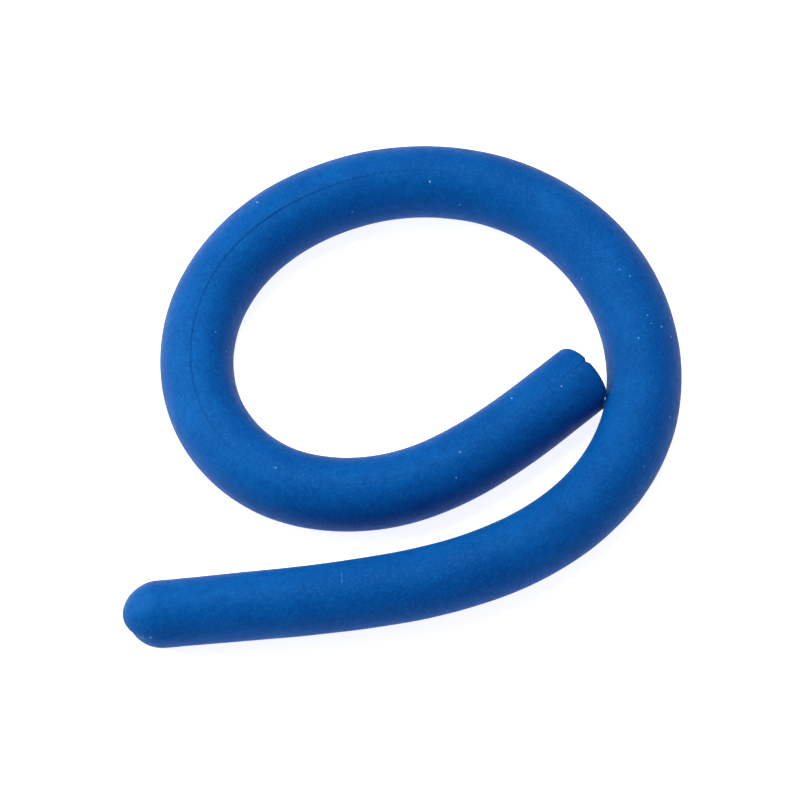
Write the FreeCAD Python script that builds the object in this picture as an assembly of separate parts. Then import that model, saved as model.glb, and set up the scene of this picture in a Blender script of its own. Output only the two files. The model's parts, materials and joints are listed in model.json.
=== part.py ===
"""A bendable rod: one moulded soft sleeve over one annealed core wire, lying bent into an open loop.

The real rod bends anywhere.  Here it bends at fifteen places, so the sleeve and the wire are each cut
into sixteen stretches.  Every stretch starts with a ball that sits in the socket at the end of the
stretch before it, and the wire runs through the middle of that ball.
Millimetres, +Z up, the rod lying on z = 0, stretches numbered from the outer end to the inner end.
"""
import FreeCAD, Part
import math
import os

# The rod
STRETCH = 15.9              # length of each stretch along the centreline
LAST_STRETCH = 15.5         # the inner end's stretch is cut square a little sooner
BODY_DIAMETER = 9.7
TAPER_PER_STRETCH = 0.17    # diameter lost per stretch towards the outer end
TAPERED_STRETCHES = 6
INNER_END_ROUND = 1.5       # rounded edge of the square-cut inner end
DISH_DEPTH = 0.35           # shallow hollow in the inner end's face
DISH_RADIUS = 2.6

# The bent shape: how far each stretch turns to the left, in degrees
START_HEADING = 5.6
TURNS = [0, 3, 12, 24, 31, 26, 30, 31, 30, 30, 29, 36, 44, 45, 24, 0]

# The ball and socket between two stretches
SOCKET_GAP = 0.2
LIP_SETBACK = 2.4           # the socket's lip stops this far before the ball's centre

# The core wire
WIRE_RADIUS = 0.8
WIRE_CLEARANCE = 0.05       # wire to the sleeve's bore
SWING_CLEARANCE = 0.1       # wire to the walls of the slot it swings in
CUP_CLEARANCE = 0.15        # a wire's round tip to the cup it turns in
SWING_MARGIN = 1.5          # degrees of slot past each limit
SLOT_REACH = 1.5            # length of the slot's cutter, in ball radii
FOLD_RADIUS = 1.2           # the wire's ends fold back on themselves
FOLD_LEG = 5.0
OUTER_FOLD_AT = 4.6         # from the outer end to the start of the fold
INNER_FOLD_AT = 11.4        # along the last stretch to the start of the fold

# The joints, from the outer end: a bend turns in the plane of the loop and opens it when positive,
# a lift raises the far end of the rod.  Limits in degrees.
ROOT = 9                    # the stretch at the top of the loop, which holds still
JOINTS = [
    ("lift", 0, 35),
    ("bend", -15, 30),
    ("lift", 0, 35),
    ("bend", -4, 30),
    ("lift", 0, 30),
    ("bend", 0, 30),
    ("lift", 0, 30),
    ("bend", 0, 30),
    ("bend", 0, 30),
    ("lift", 0, 12),
    ("bend", 0, 10),
    ("lift", 0, 30),
    ("bend", -35, 0),
    ("lift", 0, 35),
    ("bend", -35, 0),
]

UP = FreeCAD.Vector(0, 0, 1)


def direction_at(heading):
    """Unit vector in the plane of the loop."""
    angle = math.radians(heading)
    return FreeCAD.Vector(math.cos(angle), math.sin(angle), 0)


class Stretch:
    """One length of the rod along an arc, or along a line where it doesn't turn."""

    def __init__(self, number, start, heading):
        self.number = number
        self.turn = TURNS[number - 1]
        self.length = LAST_STRETCH if number == len(TURNS) else STRETCH
        tapered = max(0, TAPERED_STRETCHES + 1 - number)
        self.radius = (BODY_DIAMETER - TAPER_PER_STRETCH * tapered) / 2
        self.heading = heading
        self.start = FreeCAD.Vector(start.x, start.y, self.radius)
        left = UP.cross(direction_at(heading))
        if self.turn:
            self.pivot = self.start + left * (STRETCH / math.radians(self.turn))

    def turned(self, distance):
        return self.turn * distance / STRETCH

    def direction(self, distance):
        return direction_at(self.heading + self.turned(distance))

    def point(self, distance):
        """The centreline's point at this distance along the stretch."""
        if not self.turn:
            return self.start + self.direction(0) * distance
        arm = self.start - self.pivot
        spin = FreeCAD.Rotation(UP, self.turned(distance))
        return self.pivot + spin.multVec(arm)

    def tube(self, radius, first, last):
        """A solid round bar of this radius along the centreline between two distances."""
        start = self.point(first)
        direction = self.direction(first)
        disc = Part.Face(Part.Wire(Part.makeCircle(radius, start, direction)))
        if not self.turn:
            return disc.extrude(direction * (last - first))
        return disc.revolve(self.pivot, UP, self.turned(last - first))


def lay_out():
    """The stretches, laid end to end."""
    stretches = []
    start = FreeCAD.Vector(0, 0, 0)
    heading = START_HEADING
    for number in range(1, len(TURNS) + 1):
        stretch = Stretch(number, start, heading)
        stretches.append(stretch)
        start = stretch.point(STRETCH)
        heading += stretch.turn
    return stretches


class Joint:
    """The hinge at the start of a stretch; its number is that of the stretch before it."""

    def __init__(self, before, after):
        self.number = before.number
        self.kind, self.low, self.high = JOINTS[self.number - 1]
        self.before = before
        self.centre = after.start
        self.ball_radius = after.radius
        self.outer = after.number <= ROOT
        self.onward = after.direction(0)
        away = -self.onward if self.outer else self.onward
        if self.kind == "lift":
            self.axis = away.cross(UP)
        else:
            self.axis = UP if self.outer else -UP

    def swing(self):
        """The angles, about the axis, that the incoming wire takes as seen from the ball."""
        if self.outer:
            return self.low - SWING_MARGIN, self.high + SWING_MARGIN
        return -self.high - SWING_MARGIN, -self.low + SWING_MARGIN

    def cup(self):
        """The space round the incoming wire's tip."""
        return Part.makeSphere(WIRE_RADIUS + CUP_CLEARANCE, self.centre)

    def slot(self):
        """The flat-walled space in the ball that the incoming wire swings through."""
        half = WIRE_RADIUS + SWING_CLEARANCE
        bottom, top = -half, half
        low, high = self.swing()
        # The wire arrives curved, so at the ball's face it stands to the left of its last direction.
        face = self.ball_radius + SOCKET_GAP
        drift = self.before.turned(face) / 2
        sideways = face * math.sin(math.radians(drift))
        if self.kind == "lift" and self.outer:
            top += sideways
        elif self.kind == "lift":
            bottom -= sideways
        elif self.outer:
            low -= drift
        else:
            high += drift

        inward = -self.onward
        across = self.axis.cross(inward)

        def corner(angle, ahead, aside):
            arm = inward * ahead + across * aside + self.axis * bottom
            return self.centre + FreeCAD.Rotation(self.axis, angle).multVec(arm)

        reach = SLOT_REACH * self.ball_radius
        corners = [
            corner(low, -half, -half),
            corner(low, reach, -half),
            corner(high, reach, half),
            corner(high, -half, half),
        ]
        floor = Part.Face(Part.makePolygon(corners + corners[:1]))
        return floor.extrude(self.axis * (top - bottom))


def dome(centre, outward, radius):
    """A half ball standing on the plane through its centre."""
    return Part.makeSphere(radius, centre, outward, 0, 90, 360)


def hairpin(point, outward, radius):
    """The wire's folded-back end: a half turn and a short leg, from where the straight wire stops."""
    side = UP.cross(outward)
    pivot = point + side * FOLD_RADIUS
    disc = Part.Face(Part.Wire(Part.makeCircle(radius, point, outward)))
    turn = disc.revolve(pivot, UP, 180)
    leg_start = pivot + side * FOLD_RADIUS
    leg = Part.makeCylinder(radius, FOLD_LEG, leg_start, -outward)
    tip = dome(leg_start - outward * FOLD_LEG, -outward, radius)
    return turn.fuse(leg).fuse(tip)


def wire_run(stretch, radius):
    """The core wire's run in one stretch, with its round tip or its folded end."""
    first = OUTER_FOLD_AT if stretch.number == 1 else 0
    last = INNER_FOLD_AT if stretch.number == len(TURNS) else stretch.length
    run = stretch.tube(radius, first, last)
    if stretch.number == 1:
        run = run.fuse(hairpin(stretch.point(first), -stretch.direction(first), radius))
    if stretch.number == len(TURNS):
        return run.fuse(hairpin(stretch.point(last), stretch.direction(last), radius))
    return run.fuse(dome(stretch.point(last), stretch.direction(last), radius))


def make_core_wire(stretch, joint_before):
    """One stretch of the core wire; its start is cupped round the tip of the wire before it."""
    wire = wire_run(stretch, WIRE_RADIUS)
    if joint_before:
        wire = wire.cut(joint_before.cup())
    return wire.removeSplitter()


def make_square_end(stretch):
    """The inner end: a rounded edge and a shallow dish in the face."""
    radius = stretch.radius
    body = stretch.tube(radius, 0, stretch.length)
    end = stretch.point(stretch.length)
    outward = stretch.direction(stretch.length)
    rims = [
        edge
        for edge in body.Edges
        if edge.BoundBox.Center.distanceToPoint(end) < radius / 4 and edge.Length > radius
    ]
    body = body.makeFillet(INNER_END_ROUND, rims)
    ball = (DISH_RADIUS**2 + DISH_DEPTH**2) / (2 * DISH_DEPTH)
    return body.cut(Part.makeSphere(ball, end + outward * (ball - DISH_DEPTH)))


def make_sleeve(stretch, joint_before, joint_after):
    """One stretch of the soft sleeve: ball or dome, body, and socket or square end."""
    radius = stretch.radius
    if joint_after:
        first = 0 if joint_before else radius
        body = stretch.tube(radius, first, stretch.length - LIP_SETBACK)
    else:
        first = 0
        body = make_square_end(stretch)
    body = body.fuse(dome(stretch.point(first), -stretch.direction(first), radius))
    if joint_after:
        body = body.cut(Part.makeSphere(joint_after.ball_radius + SOCKET_GAP, joint_after.centre))
    if joint_before:
        body = body.cut(joint_before.slot())
    bore = wire_run(stretch, WIRE_RADIUS + WIRE_CLEARANCE)
    return body.cut(bore).removeSplitter()


def build():
    """Every node's solid, standing over the middle of the loop's own box, with the layout."""
    stretches = lay_out()
    joints = [Joint(before, after) for before, after in zip(stretches, stretches[1:])]
    solids = {}
    for stretch in stretches:
        before = joints[stretch.number - 2] if stretch.number > 1 else None
        after = joints[stretch.number - 1] if stretch.number < len(stretches) else None
        solids[f"sleeve_{stretch.number:02d}"] = make_sleeve(stretch, before, after)
        solids[f"core_wire_{stretch.number:02d}"] = make_core_wire(stretch, before)
    box = Part.makeCompound(list(solids.values())).optimalBoundingBox(False, False)
    shift = FreeCAD.Vector(-box.Center.x, -box.Center.y, 0)
    for name, solid in solids.items():
        solid.translate(shift)
    return stretches, joints, shift, solids


def main():
    os.makedirs("parts", exist_ok=True)
    stretches, joints, shift, solids = build()
    for name, solid in solids.items():
        solid.exportStep(f"parts/{name}.step")
        whole = solid.isValid() and len(solid.Solids) == 1
        print(name, "one valid solid" if whole else "BROKEN", round(solid.Volume, 1), "mm3")


main()
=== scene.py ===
"""A bendable rod: a soft blue moulded sleeve over a core wire, lying bent into an open loop.

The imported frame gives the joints, the ends and the sleeve's thickness.  The sleeve is drawn here as
fifteen skins, one across each joint, which meet in the middle of the stretches between the joints.
Metres, +Z up.  A place on the rod is its distance along the rod from the outer end's tip and its angle
round the rod: 0 at the top, positive towards the outside of the loop.
"""
import json
import math

import bpy
import numpy as np
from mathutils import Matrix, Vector, noise


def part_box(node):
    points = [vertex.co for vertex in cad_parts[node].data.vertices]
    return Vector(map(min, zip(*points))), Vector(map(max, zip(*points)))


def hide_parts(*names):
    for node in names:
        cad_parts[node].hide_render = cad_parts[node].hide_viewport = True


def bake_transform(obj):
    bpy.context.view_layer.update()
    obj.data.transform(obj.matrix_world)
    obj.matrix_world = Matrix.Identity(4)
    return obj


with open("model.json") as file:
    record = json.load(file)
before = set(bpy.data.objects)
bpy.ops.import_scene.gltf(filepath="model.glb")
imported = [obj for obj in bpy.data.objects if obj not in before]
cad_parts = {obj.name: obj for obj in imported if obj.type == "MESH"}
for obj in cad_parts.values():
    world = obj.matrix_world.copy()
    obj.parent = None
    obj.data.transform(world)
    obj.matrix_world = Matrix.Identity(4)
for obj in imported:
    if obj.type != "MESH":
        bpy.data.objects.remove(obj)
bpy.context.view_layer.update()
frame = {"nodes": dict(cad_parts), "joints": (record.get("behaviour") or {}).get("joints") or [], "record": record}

MM = 0.001

# ---- The mesh ----
RING_STEP = 0.45 * MM
MEETING_STEP = 0.02 * MM        # from where two skins meet to the extra ring beside it
POINTS_ROUND = 96
BESIDE_SEAM = (0.012, 0.024, 0.038, 0.052)     # extra points beside each parting line, in radians
SPAN_POINTS = 200               # points on the centreline between two joints

# ---- The moulded ends ----
DOME_LENGTH = 4.8 * MM
DOME_RINGS = 26
DOME_SQUARENESS = 1.95          # 2 is an ellipse
END_ROUND = 0.9 * MM            # rounded rim of the square-cut inner end
END_RINGS = 12
DOME_SET_BACK = 0.55 * MM       # the dome's two halves don't match: the lower one is shorter
DOME_STEP_WIDTH = 0.12 * MM
RELIEF_GROWTH = 1.15            # the seam and the lumps grow a little faster than the dome's rings
END_PROUD = 1.10 * MM           # how far the inner end reaches past its core solid
END_NOTCH = 0.34 * MM           # the cut end is nicked where the parting line crosses it
END_NOTCH_WIDTH = 0.34 * MM
DISH_DEPTH = 0.30 * MM          # its face is slightly hollow
DISH_RINGS = 9
LOOP_GAP = 0.12 * MM            # the inner end rests against the loop, flattened where it touches
LOOP_TOUCHED = 40 * MM, 110 * MM

# ---- The parting line of the mould ----
# its angle round the rod, in degrees, at distances along the rod in millimetres
SEAM_PATH = (
    (0, 91), (4, 75), (8, 65), (14, 54), (40, 30), (70, 4), (100, -10), (126, -17), (144, -15), (156, -12),
    (170, -3), (186, 8), (198, 19), (210, 20), (226, 13), (240, 7), (254, 1),
)
# how plain it is to see, from 0 to 1, at distances in millimetres
SEAM_STRENGTH = (
    (0, 0.30), (8, 0.10), (16, 0), (124, 0), (134, 0.25), (144, 0.7), (158, 1.0), (198, 1.0),
    (208, 0.35), (218, 0.2), (226, 0.5), (236, 0.2), (246, 0.15), (254, 0.45),
)
SEAM_GROOVE = 0.055 * MM
SEAM_GROOVE_WIDTH = 0.10 * MM
SEAM_STEP_HEIGHT = 0.05 * MM    # the mould's halves don't meet quite flush
SEAM_STEP_WIDTH = 0.10 * MM
SEAM_WAVER = 0.45               # how much the groove and the step come and go along the rod
SEAM_WAVER_LENGTH = 3 * MM
END_MISMATCH = 0.20 * MM        # the halves are furthest apart at the ends, each a different way
INNER_END_MISMATCH = 0.5        # as a share of the outer end's
END_MISMATCH_REACH = 7.0 * MM
LUMPS = 0.035 * MM
LUMP_LENGTH, LUMPS_ROUND = 7 * MM, 1.1
FINE_LUMP_LENGTH, FINE_LUMPS_ROUND = 2.1 * MM, 2.6
FINE_LUMPS = 0.3                # as a share of the broad ones

# ---- The bent shape ----
TABLE_SMOOTHING = 5 * MM        # how far either side of a place the tables are averaged
PROUD = 0.08 * MM               # how far the soft skin stands out past the plain core solids
# soft rod squashes wider where it is bent: extra width in the plane of the loop, in mm, at distances
EXTRA_WIDTH = (
    (0, 0.10), (40, 0.36), (62, 0.28), (80, 0.46), (106, 0.54), (120, 0.10), (134, 0.10), (156, 0.46),
    (174, 0.30), (186, 0.06), (254, 0.04),
)
# how far the centreline strays inwards from the smooth line through the joints, in mm, at distances
STRAY = (
    (0, 0.08), (62, 0.03), (76, -0.30), (92, -0.06), (108, 0.10), (122, -0.04), (134, 0.26), (146, 0.46),
    (160, 0.18), (174, -0.02), (186, 0.06), (198, -0.18), (209, 0.05), (222, 0.26), (232, 0.05),
    (241, -0.20), (254, -0.10),
)


def spline_slopes(knots, spans, first, last):
    """The slope at each knot of the smoothest curve through the knots, with these end slopes."""
    count = len(knots)
    rows = np.zeros((count, count))
    sides = np.zeros((count, 2))
    rows[0, 0] = rows[-1, -1] = 1
    sides[0], sides[-1] = first, last
    for i in range(1, count - 1):
        before, after = spans[i - 1], spans[i]
        rows[i, i - 1:i + 2] = 1 / before, 2 / before + 2 / after, 1 / after
        sides[i] = 3 * (knots[i] - knots[i - 1]) / before ** 2
        sides[i] += 3 * (knots[i + 1] - knots[i]) / after ** 2
    return np.linalg.solve(rows, sides)


def along_table(table, s):
    """A value given at distances in millimetres, read smoothly at s."""
    distances, values = np.array(table, float).T
    spread = np.linspace(-TABLE_SMOOTHING, TABLE_SMOOTHING, 11)
    return np.interp(s + spread, distances * MM, values).mean()


class Rod:
    """The bent rod at rest: where its centreline runs, how thick it is, and where its joints are."""

    def __init__(self):
        mounts = {mount["name"]: mount for mount in frame["record"]["mounts"]}
        joints = frame["joints"]
        outward = np.array(mounts["outer_end"]["axis"])[:2]
        inward = np.array(mounts["inner_end"]["axis"])[:2]
        places = np.array([joint["pos_m"][:2] for joint in joints])
        tip_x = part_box("sleeve_01")[0].x
        tip = places[0] + outward * (tip_x - places[0][0]) / outward[0]
        end = np.array(mounts["inner_end"]["pos_m"])[:2] + inward * END_PROUD
        self.trace(np.vstack([tip, places, end]), -outward, inward)
        stretches = len(joints) + 1
        edges = self.knots
        self.middles = (edges[:-1] + edges[1:]) / 2
        boxes = [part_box(f"sleeve_{k:02d}") for k in range(1, stretches + 1)]
        self.radii = [(high.z - low.z) / 2 for low, high in boxes]

    def trace(self, knots, first, last):
        """A smooth line through the knots, with the distance and the heading along it."""
        spans = np.linalg.norm(np.diff(knots, axis=0), axis=1)
        slopes = spline_slopes(knots, spans, first, last)
        line = []
        for i, span in enumerate(spans):
            u = np.linspace(0, 1, SPAN_POINTS, endpoint=False)[:, None]
            share = 3 * u ** 2 - 2 * u ** 3
            places = (1 - share) * knots[i] + share * knots[i + 1]
            places += (u ** 3 - 2 * u ** 2 + u) * span * slopes[i]
            places += (u ** 3 - u ** 2) * span * slopes[i + 1]
            line.append(places)
        self.line = np.vstack([*line, knots[-1:]])
        steps = np.linalg.norm(np.diff(self.line, axis=0), axis=1)
        self.distance = np.concatenate([[0], np.cumsum(steps)])
        self.knots = self.distance[::SPAN_POINTS]
        self.length = self.distance[-1]
        slope = np.gradient(self.line, axis=0)
        self.heading = np.unwrap(np.arctan2(slope[:, 1], slope[:, 0]))

    def width_scale(self, s):
        """How much wider than high the rod is."""
        return 1 + along_table(EXTRA_WIDTH, s) * MM / (2 * self.radius(s))

    def radius(self, s):
        return np.interp(s, self.middles, self.radii) + PROUD

    def centre(self, s):
        """The centreline's point: the rod lies on the floor, so it is as high as the rod is thick."""
        x = np.interp(s, self.distance, self.line[:, 0])
        y = np.interp(s, self.distance, self.line[:, 1])
        along = self.along(s)
        stray = along_table(STRAY, s) * MM
        return np.array([x - along[1] * stray, y + along[0] * stray, self.radius(s)])

    def along(self, s):
        heading = np.interp(s, self.distance, self.heading)
        return np.array([math.cos(heading), math.sin(heading), 0.0])


rod = Rod()


def seam_angle(s):
    """Where the parting line is at this distance: its angle round the rod, in radians."""
    return math.radians(along_table(SEAM_PATH, s))


def angle_grid():
    """Angles round the rod from the parting line, closer together beside it and its opposite."""
    even = np.arange(POINTS_ROUND) * math.tau / POINTS_ROUND
    beside = [sign * step for step in BESIDE_SEAM for sign in (-1, 1)]
    opposite = [math.pi + step for step in beside]
    return np.sort(np.concatenate([even, np.mod(beside, math.tau), opposite]))


GRID = angle_grid()


def seam_relief(s, turn, radius):
    """The groove and the step of the parting line and its opposite, as a change of radius."""
    ends = math.exp(-((s / END_MISMATCH_REACH) ** 2))
    ends -= INNER_END_MISMATCH * math.exp(-(((rod.length - s) / END_MISMATCH_REACH) ** 2))
    strength = along_table(SEAM_STRENGTH, s)
    step = SEAM_STEP_HEIGHT * strength + END_MISMATCH * ends
    waver = 1 + SEAM_WAVER * noise.noise(Vector((s / SEAM_WAVER_LENGTH, 0.3, 0.1)))
    across = np.sin(turn) * radius
    side = np.tanh(across / SEAM_STEP_WIDTH) / 2
    groove = np.exp(-((across / SEAM_GROOVE_WIDTH) ** 2))
    return waver * (step * side - SEAM_GROOVE * strength * groove)


def noise_round(s, turn, length, spread):
    """Smooth noise on the rod's surface, with no break where the angles come round again."""
    places = [(s / length, spread * math.cos(angle), spread * math.sin(angle)) for angle in turn]
    return np.array([noise.noise(Vector(place)) for place in places])


def lumps(s, turn):
    """Low, slow unevenness of soft moulding."""
    broad = noise_round(s, turn, LUMP_LENGTH, LUMPS_ROUND)
    fine = noise_round(s, turn, FINE_LUMP_LENGTH, FINE_LUMPS_ROUND)
    return LUMPS * (broad + FINE_LUMPS * fine)


def cut_shape(turn, reach):
    """How far each point of the cut end stands forward: it is nicked at the parting line on top."""
    across = reach * np.sin(turn) / END_NOTCH_WIDTH
    return -END_NOTCH * np.exp(-across ** 2) * (np.cos(turn) > 0)


def clear_of_loop(ring):
    """The ring's points, those inside the part of the loop it rests against moved to its surface."""
    places = np.arange(*LOOP_TOUCHED, RING_STEP)
    centres = np.array([rod.centre(s) for s in places])
    radii = np.array([rod.radius(s) * rod.width_scale(s) for s in places]) + LUMPS + LOOP_GAP
    apart = ring[:, None] - centres[None]
    distance = np.linalg.norm(apart, axis=2)
    nearest = distance.argmin(axis=1)
    rows = np.arange(len(ring))
    distance, apart = distance[rows, nearest], apart[rows, nearest]
    push = np.maximum(radii[nearest] / distance, 1)
    return centres[nearest] + apart * push[:, None]


def dome_shape(s, turn, reach):
    """How far each point near the outer end is set back: the half past the parting line is shorter."""
    fade = 1 - min(max(s / DOME_LENGTH - 1, 0), 1)
    across = reach * np.sin(turn) / DOME_STEP_WIDTH
    return DOME_SET_BACK * fade ** 2 * (3 - 2 * fade) * (1 + np.tanh(across)) / 2


class Skin:
    """A closed piece of the sleeve, built ring by ring."""

    def __init__(self, name):
        self.name = name
        self.points = []
        self.straight = []
        self.seam = []
        self.rings = []
        self.faces = []
        self.sharp = []

    def add_ring(self, s, scale=1.0, ahead=0.0, relief=1.0, cut=0.0):
        """A ring across the rod at s; scale shrinks it, ahead moves it on along the rod, and cut
        is how far it takes on the uneven shape of the cut end."""
        seam = seam_angle(s)
        turn = GRID
        radius = rod.radius(s)
        reach = radius * scale + relief * (seam_relief(s, turn, radius) + lumps(s, turn))
        angle = turn + seam
        along = rod.along(s)
        outward = np.array([along[1], -along[0], 0.0])
        centre = rod.centre(s) + along * ahead
        ring = centre + np.outer(reach * np.sin(angle) * rod.width_scale(s), outward)
        ring += np.outer(cut * cut_shape(turn, reach) + dome_shape(s, turn, reach), along)
        ring[:, 2] += reach * np.cos(angle)
        if s > rod.length - 2 * END_ROUND:
            ring = clear_of_loop(ring)
        ring[:, 2] = np.maximum(ring[:, 2], 0)
        first = len(self.points)
        self.points.extend(ring)
        along_rod = np.full(len(turn), s + ahead)
        self.straight.extend(np.stack([along_rod, reach * np.sin(turn), reach * np.cos(turn)], 1))
        self.seam.extend([along_table(SEAM_STRENGTH, s)] * len(turn))
        self.rings.append(list(range(first, first + len(turn))))

    def join_rings(self):
        for one, two in zip(self.rings[:-1], self.rings[1:]):
            for i in range(len(one)):
                j = (i + 1) % len(one)
                self.faces.append((one[j], one[i], two[i], two[j]))

    def close(self, ring, forward, ahead=0.0, flat=False):
        """A fan from the ring to its middle; a flat one has a sharp edge."""
        middle = np.mean([self.points[i] for i in ring], axis=0)
        along = np.mean([self.straight[i] for i in ring], axis=0)
        self.points.append(middle + rod.along(along[0]) * ahead)
        self.straight.append(along)
        self.seam.append(0)
        hub = len(self.points) - 1
        for i in range(len(ring)):
            j = (i + 1) % len(ring)
            corners = (ring[i], ring[j], hub) if forward else (ring[j], ring[i], hub)
            self.faces.append(corners)
            if flat:
                self.sharp.append((ring[i], ring[j]))

    def finish(self, material):
        mesh = bpy.data.meshes.new(self.name)
        mesh.from_pydata([tuple(point) for point in self.points], [], self.faces)
        mesh.validate()
        mesh.polygons.foreach_set("use_smooth", [True] * len(mesh.polygons))
        edges = {tuple(sorted(edge.vertices)): edge for edge in mesh.edges}
        for pair in self.sharp:
            edges[tuple(sorted(pair))].use_edge_sharp = True
        place = mesh.attributes.new("straight", "FLOAT_VECTOR", "POINT")
        place.data.foreach_set("vector", np.array(self.straight, np.float32).ravel())
        plain = mesh.attributes.new("seam", "FLOAT", "POINT")
        plain.data.foreach_set("value", np.array(self.seam, np.float32))
        mesh.materials.append(material)
        mesh.update()
        skin = bpy.data.objects.new(self.name, mesh)
        bpy.context.scene.collection.objects.link(skin)
        return skin


def ring_distances(start, end):
    """Distances for the rings between two, with one very close to each."""
    count = max(2, round((end - start) / RING_STEP))
    between = np.linspace(start, end, count + 1)[1:-1]
    return [start, start + MEETING_STEP, *between, end - MEETING_STEP, end]


def dome_height(s):
    """The rod's thickness at this distance from the tip, as a share of its full thickness."""
    left = max(0.0, 1 - s / DOME_LENGTH)
    return (1 - left ** DOME_SQUARENESS) ** (1 / DOME_SQUARENESS)


def add_dome(skin):
    """The rounded outer end, from its tip to where the rod has its full thickness."""
    for i in range(1, DOME_RINGS):
        s = DOME_LENGTH * (1 - math.cos(math.pi / 2 * i / DOME_RINGS))
        height = dome_height(s)
        skin.add_ring(s, scale=height, relief=min(1.0, RELIEF_GROWTH * height))


def add_inner_end(skin):
    """The square-cut inner end: a rounded rim and a shallow dish."""
    radius = rod.radius(rod.length)
    edge = rod.length - END_ROUND
    for i in range(1, END_RINGS + 1):
        angle = math.pi / 2 * i / END_RINGS
        forward = math.sin(angle)
        narrower = END_ROUND / radius * (1 - math.cos(angle))
        skin.add_ring(edge, 1 - narrower, END_ROUND * forward, cut=forward)
    rim = 1 - END_ROUND / radius
    for i in range(1, DISH_RINGS):
        share = i / DISH_RINGS
        sunk = DISH_DEPTH * (1 - math.cos(math.pi * share)) / 2
        skin.add_ring(edge, rim * (1 - share), END_ROUND - sunk, 1 - share, cut=1.0)


def make_skin(number, material):
    """The sleeve from the middle of this stretch to the middle of the next one, across one joint."""
    last = len(frame["joints"])
    skin = Skin(f"sleeve_skin_{number:02d}")
    start = rod.middles[number - 1]
    end = rod.middles[number]
    if number == 1:
        add_dome(skin)
        start = DOME_LENGTH
    if number == last:
        end = rod.length - END_ROUND
    for s in ring_distances(start, end):
        skin.add_ring(s)
    if number == last:
        add_inner_end(skin)
    skin.join_rings()
    first_ring, last_ring = skin.rings[0], skin.rings[-1]
    skin.close(first_ring, forward=True, flat=number > 1)
    skin.close(last_ring, forward=False, flat=number < last)
    return skin.finish(material)


def bend_skin(skin, number):
    """Bakes the skin's placing into its mesh and hides the plain sleeve solids that it replaces."""
    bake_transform(skin)
    replaced = [f"sleeve_{number:02d}"]
    if number == len(frame["joints"]):
        replaced.append(f"sleeve_{number + 1:02d}")
    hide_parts(*replaced)


# ---- Materials ----
class Nodes:
    """Short ways to add and link shader nodes in one material."""

    def __init__(self, name):
        self.material = bpy.data.materials.new(name)
        self.material.use_nodes = True
        self.tree = self.material.node_tree
        self.shader = self.tree.nodes["Principled BSDF"]

    def link(self, source, target):
        self.tree.links.new(source, target)

    def add(self, kind, **settings):
        node = self.tree.nodes.new(kind)
        for name, value in settings.items():
            setattr(node, name, value)
        return node

    def noise(self, place, scale, detail=2.0, roughness=0.5):
        node = self.add("ShaderNodeTexNoise")
        node.inputs["Scale"].default_value = scale
        node.inputs["Detail"].default_value = detail
        node.inputs["Roughness"].default_value = roughness
        self.link(place, node.inputs["Vector"])
        return node.outputs["Fac"]

    def cells(self, place, scale):
        """Distance from random points, one in each cell."""
        node = self.add("ShaderNodeTexVoronoi")
        node.inputs["Scale"].default_value = scale
        self.link(place, node.inputs["Vector"])
        return node.outputs["Distance"], node.outputs["Color"]

    def between(self, value, low, high, out_low=0.0, out_high=1.0):
        node = self.add("ShaderNodeMapRange", interpolation_type="SMOOTHSTEP")
        for name, number in zip(("From Min", "From Max", "To Min", "To Max"), (low, high, out_low, out_high)):
            node.inputs[name].default_value = number
        self.link(value, node.inputs["Value"])
        return node.outputs["Result"]

    def math(self, operation, first, second):
        node = self.add("ShaderNodeMath", operation=operation)
        for socket, value in zip(node.inputs, (first, second)):
            if isinstance(value, (int, float)):
                socket.default_value = value
            else:
                self.link(value, socket)
        return node.outputs["Value"]

    def mix(self, share, first, second):
        """A colour between two, each a socket or four numbers."""
        node = self.add("ShaderNodeMix", data_type="RGBA")
        self.link(share, node.inputs["Factor"])
        for socket, value in zip(node.inputs[6:8], (first, second)):
            if isinstance(value, tuple):
                socket.default_value = value
            else:
                self.link(value, socket)
        return node.outputs[2]

    def bump(self, height, strength, distance, below=None):
        node = self.add("ShaderNodeBump")
        node.inputs["Strength"].default_value = strength
        node.inputs["Distance"].default_value = distance
        self.link(height, node.inputs["Height"])
        if below:
            self.link(below, node.inputs["Normal"])
        return node.outputs["Normal"]


BLUE = (0.0008, 0.068, 0.305, 1)
DEEP_BLUE = (0.0005, 0.052, 0.254, 1)
PALE_BLUE = (0.004, 0.092, 0.360, 1)
# pale blue-white: dust, the pale ridge, and two painted highlights at the outer end
PALE_DUST_AND_HIGHLIGHT = (0.20, 0.42, 0.76, 1)
# dark blue: painted shade for the parting line's groove, and the colour of the scratches
SEAM_SHADE_AND_SCRATCH_BLUE = (0.001, 0.030, 0.150, 1)
BLUE_SHEEN = (0.30, 0.75, 1.0, 1)
STEEL = (0.42, 0.42, 0.43, 1)
DULL_STEEL = (0.25, 0.24, 0.235, 1)
FLOOR_GREY = (0.47, 0.47, 0.47, 1)
FLOOR_PALE_GREY = (0.49, 0.49, 0.49, 1)
WHITE = (1, 1, 1, 1)
FLOOR_GLOW = 0.86

# noise scales: how many features to a metre
CLOUDS = 160.0
MOTTLE = 900.0
GRAIN = 3000.0
PITS = 640.0
STAINS = 600.0
WIRE_GRAIN = 5000.0
FIBRES = 2500.0

# how strongly each mark colours the rubber
# the parting line's groove is darkened with painted shade
SEAM_PAINTED_SHADE = 0.3
SCRATCH_DARKNESS = 0.45
RIDGE_PALENESS = 0.16
SPECK_PALENESS = 0.7
SEAM_SHADE_FADE = 0.05 * MM, 0.22 * MM     # from the line's middle to where its painted shade starts and stops fading
SCRATCH_DEPTH = 1.5             # depths, in heights of a ridge or a grain of dust
PIT_DEPTH = 1.5
GRAIN_HEIGHT = 0.025 * MM
MOTTLE_HEIGHT = 0.09 * MM
WIRE_GRAIN_HEIGHT = 0.01 * MM
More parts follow.
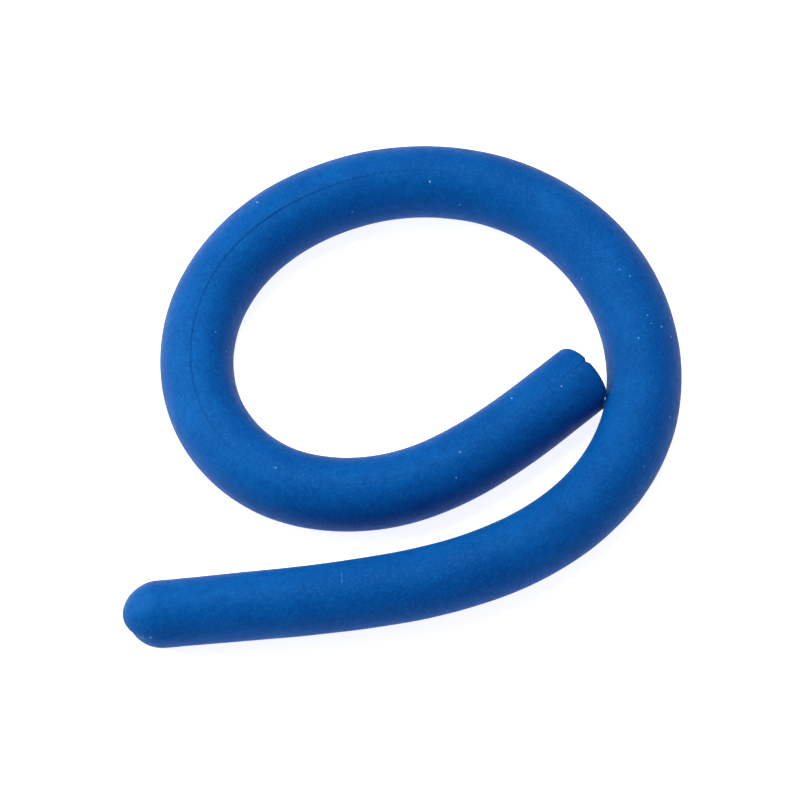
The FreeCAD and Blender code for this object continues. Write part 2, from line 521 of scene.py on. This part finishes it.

# grains of dust, two of them painted highlights on the outer end's mould step: distance along the rod in mm, angle
# round it in degrees, radius in mm
DUST_AND_HIGHLIGHT_SPECKS = (
    (135, -34, 0.20), (184, -55, 0.14), (181.5, -31, 0.12), (148, -64, 0.13), (230, 43, 0.15),
    # (2.35, 78) and (3.45, 74) are painted highlights on the outer end's mould step
    (232, 9.5, 0.15), (2.35, 78, 0.15), (3.45, 74, 0.18), (249, 12, 0.16), (92.1, 31, 0.17),
    (101.7, -4, 0.11), (100.2, 6, 0.13), (93.7, 11, 0.12), (92.4, 14, 0.10), (90.2, -9, 0.13),
)
# marks in the rubber: where each starts and ends, in mm along the rod and degrees round it
SCRATCHES = (((98.9, -4), (95.7, 16)), ((23.7, -3), (23.8, 9.5)), ((23.8, 9.5), (24.4, 23)))
RIDGES = (((29.0, -12), (28.9, 6)),)
MARK_HALF_WIDTH = 0.11 * MM
DUSTY_FROM = 0.066, 0.086       # the dusty length of the rod, in metres: the dust comes in and goes out
DUSTY_TO = 0.128, 0.140, 1.0, 0.0
# the scatter's layers: cells to a metre, the share of them left without a grain where it is dusty,
# and a grain's radius as a share of a cell
SCATTER = ((420.0, 0.90, 0.07), (900.0, 0.93, 0.12))
DUSTIER = 0.06                  # the extra share of cells with a grain where it is dusty
FAINT_SHARE = 0.02              # the share of cells with a faint grain


def straight_place(distance, angle):
    """The place in the straightened rod at this distance in millimetres and angle in degrees."""
    s = distance * MM
    turn = math.radians(angle) - seam_angle(s)
    radius = rod.radius(s) * dome_height(s)
    return Vector((s, radius * math.sin(turn), radius * math.cos(turn)))


def add_specks(nodes, place, along):
    """Dust: a few grains in known places, two of them painted highlights at the outer end, and a scatter that is
    thickest along the dusty length.
    """
    total = None
    for distance, angle, size in DUST_AND_HIGHLIGHT_SPECKS:
        gap = nodes.add("ShaderNodeVectorMath", operation="DISTANCE")
        nodes.link(place, gap.inputs[0])
        gap.inputs[1].default_value = straight_place(distance, angle)
        speck = nodes.between(gap.outputs["Value"], size * 0.4 * MM, size * MM, 1.0, 0.0)
        total = speck if total is None else nodes.math("MAXIMUM", total, speck)
    dusty = nodes.math("MULTIPLY", nodes.between(along, *DUSTY_FROM), nodes.between(along, *DUSTY_TO))
    for scale, bare, size in SCATTER:
        distance, random = nodes.cells(place, scale)
        pick = nodes.add("ShaderNodeSeparateColor")
        nodes.link(random, pick.inputs["Color"])
        chance = nodes.math("ADD", pick.outputs["Red"], nodes.math("MULTIPLY", dusty, DUSTIER))
        chosen = nodes.between(chance, bare + DUSTIER, bare + DUSTIER + FAINT_SHARE)
        speck = nodes.math("MULTIPLY", chosen, nodes.between(distance, size * 0.5, size, 1.0, 0.0))
        total = nodes.math("MAXIMUM", total, speck)
    return total


def add_marks(nodes, place, marks):
    """Straight marks: 1 on each one's line, falling to 0 at its edge."""
    total = None
    for start, end in marks:
        first, last = straight_place(*start), straight_place(*end)
        line = last - first
        gap = nodes.add("ShaderNodeVectorMath", operation="SUBTRACT")
        nodes.link(place, gap.inputs[0])
        gap.inputs[1].default_value = first
        reach = nodes.add("ShaderNodeVectorMath", operation="DOT_PRODUCT")
        nodes.link(gap.outputs["Vector"], reach.inputs[0])
        reach.inputs[1].default_value = line / line.length_squared
        share = nodes.math("MAXIMUM", nodes.math("MINIMUM", reach.outputs["Value"], 1.0), 0.0)
        nearest = nodes.add("ShaderNodeVectorMath", operation="SCALE")
        nearest.inputs[0].default_value = line
        nodes.link(share, nearest.inputs["Scale"])
        away = nodes.add("ShaderNodeVectorMath", operation="DISTANCE")
        nodes.link(gap.outputs["Vector"], away.inputs[0])
        nodes.link(nearest.outputs["Vector"], away.inputs[1])
        mark = nodes.between(away.outputs["Value"], 0.3 * MARK_HALF_WIDTH, MARK_HALF_WIDTH, 1.0, 0.0)
        total = mark if total is None else nodes.math("MAXIMUM", total, mark)
    return total


def rubber_colour(nodes, place, mottle, grain):
    """Blue in slow clouds, mottled darker and grained paler."""
    clouds = nodes.noise(place, CLOUDS, detail=3.0)
    colour = nodes.mix(nodes.between(clouds, 0.3, 0.7), DEEP_BLUE, BLUE)
    dark = nodes.math("MULTIPLY", nodes.between(mottle, 0.42, 0.66), 0.9)
    colour = nodes.mix(dark, colour, DEEP_BLUE)
    pale = nodes.math("MULTIPLY", nodes.between(grain, 0.48, 0.68), 0.75)
    return nodes.mix(pale, colour, PALE_BLUE)


def seam_shade_mask(nodes, across):
    """Painted shade along the parting line's groove: 1 along its middle where it is plain to see, falling to 0
    beside it.
    """
    aside = nodes.math("ABSOLUTE", across, 0.0)
    strength = nodes.add("ShaderNodeAttribute", attribute_name="seam").outputs["Fac"]
    return nodes.math("MULTIPLY", nodes.between(aside, *SEAM_SHADE_FADE, 1.0, 0.0), strength)


def add_pits(nodes, place):
    """Small round pits, in about one cell out of eight."""
    distance, random = nodes.cells(place, PITS)
    pick = nodes.add("ShaderNodeSeparateColor")
    nodes.link(random, pick.inputs["Color"])
    chosen = nodes.between(pick.outputs["Green"], 0.86, 0.9)
    return nodes.math("MULTIPLY", chosen, nodes.between(distance, 0.10, 0.22, 1.0, 0.0))


def sleeve_material():
    """Soft blue rubber: mottled, matt, finely grained, with a little dust, a few marks, painted shade along the
    parting line and two painted highlights at the outer end.
    """
    nodes = Nodes("blue_rubber")
    place = nodes.add("ShaderNodeAttribute", attribute_name="straight").outputs["Vector"]
    split = nodes.add("ShaderNodeSeparateXYZ")
    nodes.link(place, split.inputs["Vector"])
    mottle = nodes.noise(place, MOTTLE, detail=4.0, roughness=0.6)
    grain = nodes.noise(place, GRAIN, detail=3.0, roughness=0.7)
    scratch = add_marks(nodes, place, SCRATCHES)
    ridge = add_marks(nodes, place, RIDGES)
    speck = add_specks(nodes, place, split.outputs["X"])

    colour = rubber_colour(nodes, place, mottle, grain)
    for mark, strength, mark_colour in (
        # painted shade: the parting line's groove drawn darker
        (seam_shade_mask(nodes, split.outputs["Y"]), SEAM_PAINTED_SHADE, SEAM_SHADE_AND_SCRATCH_BLUE),
        (scratch, SCRATCH_DARKNESS, SEAM_SHADE_AND_SCRATCH_BLUE),
        (ridge, RIDGE_PALENESS, PALE_DUST_AND_HIGHLIGHT),
        # specks: dust, and two painted highlights on the outer end's mould step
        (speck, SPECK_PALENESS, PALE_DUST_AND_HIGHLIGHT),
    ):
        colour = nodes.mix(nodes.math("MULTIPLY", mark, strength), colour, mark_colour)
    nodes.link(colour, nodes.shader.inputs["Base Color"])
    nodes.link(nodes.between(mottle, 0.3, 0.7, 0.46, 0.56), nodes.shader.inputs["Roughness"])
    nodes.shader.inputs["IOR"].default_value = 1.45
    nodes.shader.inputs["Specular IOR Level"].default_value = 0.09
    nodes.shader.inputs["Specular Tint"].default_value = BLUE_SHEEN

    pits = nodes.math("MULTIPLY", add_pits(nodes, place), PIT_DEPTH)
    relief = nodes.math("SUBTRACT", grain, pits)
    relief = nodes.math("ADD", relief, nodes.math("ADD", speck, ridge))
    relief = nodes.math("SUBTRACT", relief, nodes.math("MULTIPLY", scratch, SCRATCH_DEPTH))
    fine = nodes.bump(relief, 0.5, GRAIN_HEIGHT)
    broad = nodes.bump(mottle, 0.6, MOTTLE_HEIGHT, below=fine)
    nodes.link(broad, nodes.shader.inputs["Normal"])
    return nodes.material


def wire_material():
    """Annealed steel wire: dull grey, unevenly stained and finely grained."""
    nodes = Nodes("annealed_steel")
    place = nodes.add("ShaderNodeTexCoord").outputs["Object"]
    stains = nodes.noise(place, STAINS, detail=4.0)
    colour = nodes.mix(nodes.between(stains, 0.35, 0.7), STEEL, DULL_STEEL)
    nodes.link(colour, nodes.shader.inputs["Base Color"])
    nodes.shader.inputs["Metallic"].default_value = 1.0
    nodes.link(nodes.between(stains, 0.3, 0.7, 0.32, 0.5), nodes.shader.inputs["Roughness"])
    grain = nodes.bump(nodes.noise(place, WIRE_GRAIN), 0.3, WIRE_GRAIN_HEIGHT)
    nodes.link(grain, nodes.shader.inputs["Normal"])
    return nodes.material


def floor_material():
    """White paper that glows, so that shadows on it stay faint."""
    nodes = Nodes("white_paper")
    place = nodes.add("ShaderNodeTexCoord").outputs["Object"]
    fibres = nodes.noise(place, FIBRES, detail=3.0)
    colour = nodes.mix(fibres, FLOOR_GREY, FLOOR_PALE_GREY)
    nodes.link(colour, nodes.shader.inputs["Base Color"])
    nodes.shader.inputs["Emission Color"].default_value = WHITE
    nodes.shader.inputs["Emission Strength"].default_value = FLOOR_GLOW
    nodes.shader.inputs["Roughness"].default_value = 0.9
    nodes.shader.inputs["Specular IOR Level"].default_value = 0.1
    return nodes.material


# ---- The studio ----
CAMERA_ELEVATION = 58           # degrees above the floor, in front
CAMERA_DISTANCE = 0.5996
CAMERA_LENS = 200               # lens and sensor in mm
CAMERA_SENSOR = 36
CAMERA_AIM = Vector((-0.00064, -0.00178, 0.0048))
FLOOR_SIDE = 8.0
FLOOR_DROP = 0.03 * MM          # the floor lies just below the rod, so that the two don't share a plane
SKY = (0.92, 0.92, 1.0, 1)
SKY_STRENGTH = 0.41
MIDDLE = Vector((0.0, 0.0, 0.0))
LEFT_SIDE = Vector((-0.030, 0.022, 0.0))
# the lights' names, azimuth and elevation in degrees, distance, side, watts, colour, where they aim,
# and spread in degrees
LIGHTS = (
    ("key", -118, 42, 0.34, 0.22, 0.115, (1.0, 1.0, 0.74), LEFT_SIDE, 55),
    ("side", -84, 34, 0.20, 0.12, 0.18, (1.0, 1.0, 0.75), MIDDLE, 180),
    ("overhead", -175, 75, 1.0, 0.5, 6.9, (1.0, 1.0, 0.9), MIDDLE, 180),
)


def direction(azimuth, elevation):
    """Unit vector towards a place seen at this azimuth from the front and this elevation, in degrees."""
    a, e = math.radians(azimuth), math.radians(elevation)
    return Vector((math.sin(a) * math.cos(e), -math.cos(a) * math.cos(e), math.sin(e)))


def add_camera():
    data = bpy.data.cameras.new("camera")
    data.lens = CAMERA_LENS
    data.sensor_width = CAMERA_SENSOR
    data.clip_start, data.clip_end = 0.01, 100
    camera = bpy.data.objects.new("camera", data)
    bpy.context.scene.collection.objects.link(camera)
    back = direction(0, CAMERA_ELEVATION)
    camera.location = CAMERA_AIM + back * CAMERA_DISTANCE
    camera.rotation_mode = "QUATERNION"
    camera.rotation_quaternion = (-back).to_track_quat("-Z", "Y")
    bpy.context.scene.camera = camera


def add_light(name, azimuth, elevation, distance, side, watts, colour, aim, spread):
    data = bpy.data.lights.new(name, "AREA")
    data.shape = "SQUARE"
    data.size = side
    data.energy = watts
    data.color = colour
    data.spread = math.radians(spread)
    light = bpy.data.objects.new(name, data)
    light.location = direction(azimuth, elevation) * distance
    light.rotation_mode = "QUATERNION"
    light.rotation_quaternion = (aim - light.location).to_track_quat("-Z", "Y")
    bpy.context.scene.collection.objects.link(light)


def add_floor():
    half = FLOOR_SIDE / 2
    mesh = bpy.data.meshes.new("floor")
    corners = [(-half, -half), (half, -half), (half, half), (-half, half)]
    mesh.from_pydata([(x, y, -FLOOR_DROP) for x, y in corners], [], [(0, 1, 2, 3)])
    mesh.materials.append(floor_material())
    floor = bpy.data.objects.new("floor", mesh)
    bpy.context.scene.collection.objects.link(floor)


def add_studio():
    add_camera()
    add_floor()
    world = bpy.data.worlds.new("studio")
    world.use_nodes = True
    background = world.node_tree.nodes["Background"]
    background.inputs["Color"].default_value = SKY
    background.inputs["Strength"].default_value = SKY_STRENGTH
    bpy.context.scene.world = world
    bpy.context.scene.view_settings.view_transform = "Standard"
    for light in LIGHTS:
        add_light(*light)


rubber = sleeve_material()
for number in range(1, len(frame["joints"]) + 1):
    bend_skin(make_skin(number, rubber), number)

steel = wire_material()
for name, node in frame["nodes"].items():
    if name.startswith("core_wire"):
        node.data.materials.clear()
        node.data.materials.append(steel)

add_studio()
